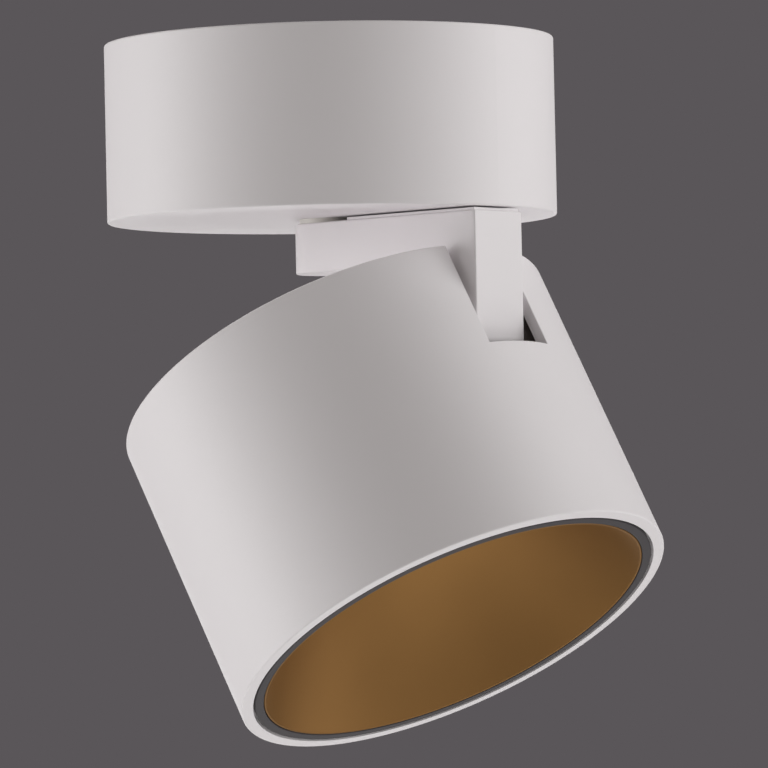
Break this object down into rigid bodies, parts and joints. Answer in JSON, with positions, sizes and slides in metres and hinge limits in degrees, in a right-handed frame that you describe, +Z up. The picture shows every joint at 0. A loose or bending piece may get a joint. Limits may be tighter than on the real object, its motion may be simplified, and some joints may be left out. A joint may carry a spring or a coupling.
{
  "type": "surface mounted ceiling spotlight",
  "caption": "Ceiling spotlight with a round surface base, an L-shaped swivelling arm and a round tilting head with a gold reflector.",
  "frame": {"origin": "centre of the base on the ceiling plane", "axes": "+Z up into the ceiling; +X along the arm, towards which the head's mouth swings; Y along the tilt axle"},
  "size_m": [0.1272, 0.1, 0.1566],
  "materials": {
    "white_coat": "fine matte powder coat",
    "zinc_steel": "zinc plated",
    "screw_steel": "plated",
    "black_rubber": "matte",
    "white_plastic": "fine matte",
    "natural_nylon": "natural",
    "brass_plate": "plain",
    "tinned_copper": "tinned",
    "green_yellow": "sleeve",
    "brown_sleeve": "sleeve",
    "black_sleeve": "sleeve",
    "board_green": "solder mask",
    "yellow_tape": "tape over ferrite",
    "capacitor_sleeve": "shrink sleeve",
    "black_steel": "black zinc",
    "raw_aluminium": "as extruded",
    "grey_pad": "silicone pad",
    "white_ceramic": "glazed ceramic",
    "phosphor": "silicone phosphor",
    "frosted_glass": "frosted",
    "gold_reflector": "matte gold anodised",
    "dark_ring": "dark grey satin"
  },
  "bodies": {
    "base": {"mounting_plate": "zinc_steel", "cable_grommet": "black_rubber", "terminal_block": "white_plastic", "terminal_screws": "brass_plate", "earth_screw": "screw_steel", "ring_terminal": "tinned_copper", "earth_lead": "green_yellow", "driver_case": "white_plastic", "driver_lid": "white_plastic", "driver_board": "board_green", "driver_transformer": "yellow_tape", "driver_capacitors": "capacitor_sleeve", "driver_screws": "screw_steel", "mains_leads": "brown_sleeve", "driver_lead": "black_sleeve", "base_housing": "white_coat", "lock_screw": "screw_steel", "swivel_bush": "natural_nylon", "stop_pin": "screw_steel"},
    "arm": {"swivel_tube": "zinc_steel", "slide_washer": "natural_nylon", "wave_spring": "screw_steel", "stop_washer": "zinc_steel", "swivel_nuts": "zinc_steel", "arm_casting": "white_coat", "arm_cover": "white_coat", "arm_cover_screw": "screw_steel", "arm_lead": "black_sleeve", "pivot_axle": "screw_steel", "axle_set_screw": "screw_steel", "friction_washers": "natural_nylon", "spring_washer": "screw_steel", "axle_nut": "zinc_steel"},
    "head": {"head_housing": "white_coat", "tilt_bracket": "black_steel", "bracket_screws": "screw_steel", "heat_sink": "raw_aluminium", "heat_sink_screws": "screw_steel", "thermal_pad": "grey_pad", "led_board": "white_ceramic", "led_emitter": "phosphor", "led_holder": "white_plastic", "holder_screws": "screw_steel", "diffuser": "frosted_glass", "reflector": "gold_reflector", "front_ring": "dark_ring", "head_lead": "black_sleeve"}
  },
  "joints": [
    {"name": "arm_swivel", "type": "hinge", "parent": "base", "child": "arm", "pos_m": [0, 0, -0.0385], "axis": [0, 0, 1], "range_deg": [-165, 165]},
    {"name": "head_tilt", "type": "hinge", "parent": "arm", "child": "head", "pos_m": [0.038, 0, -0.0625], "axis": [0, -1, 0], "range_deg": [-30, 60]}
  ]
}
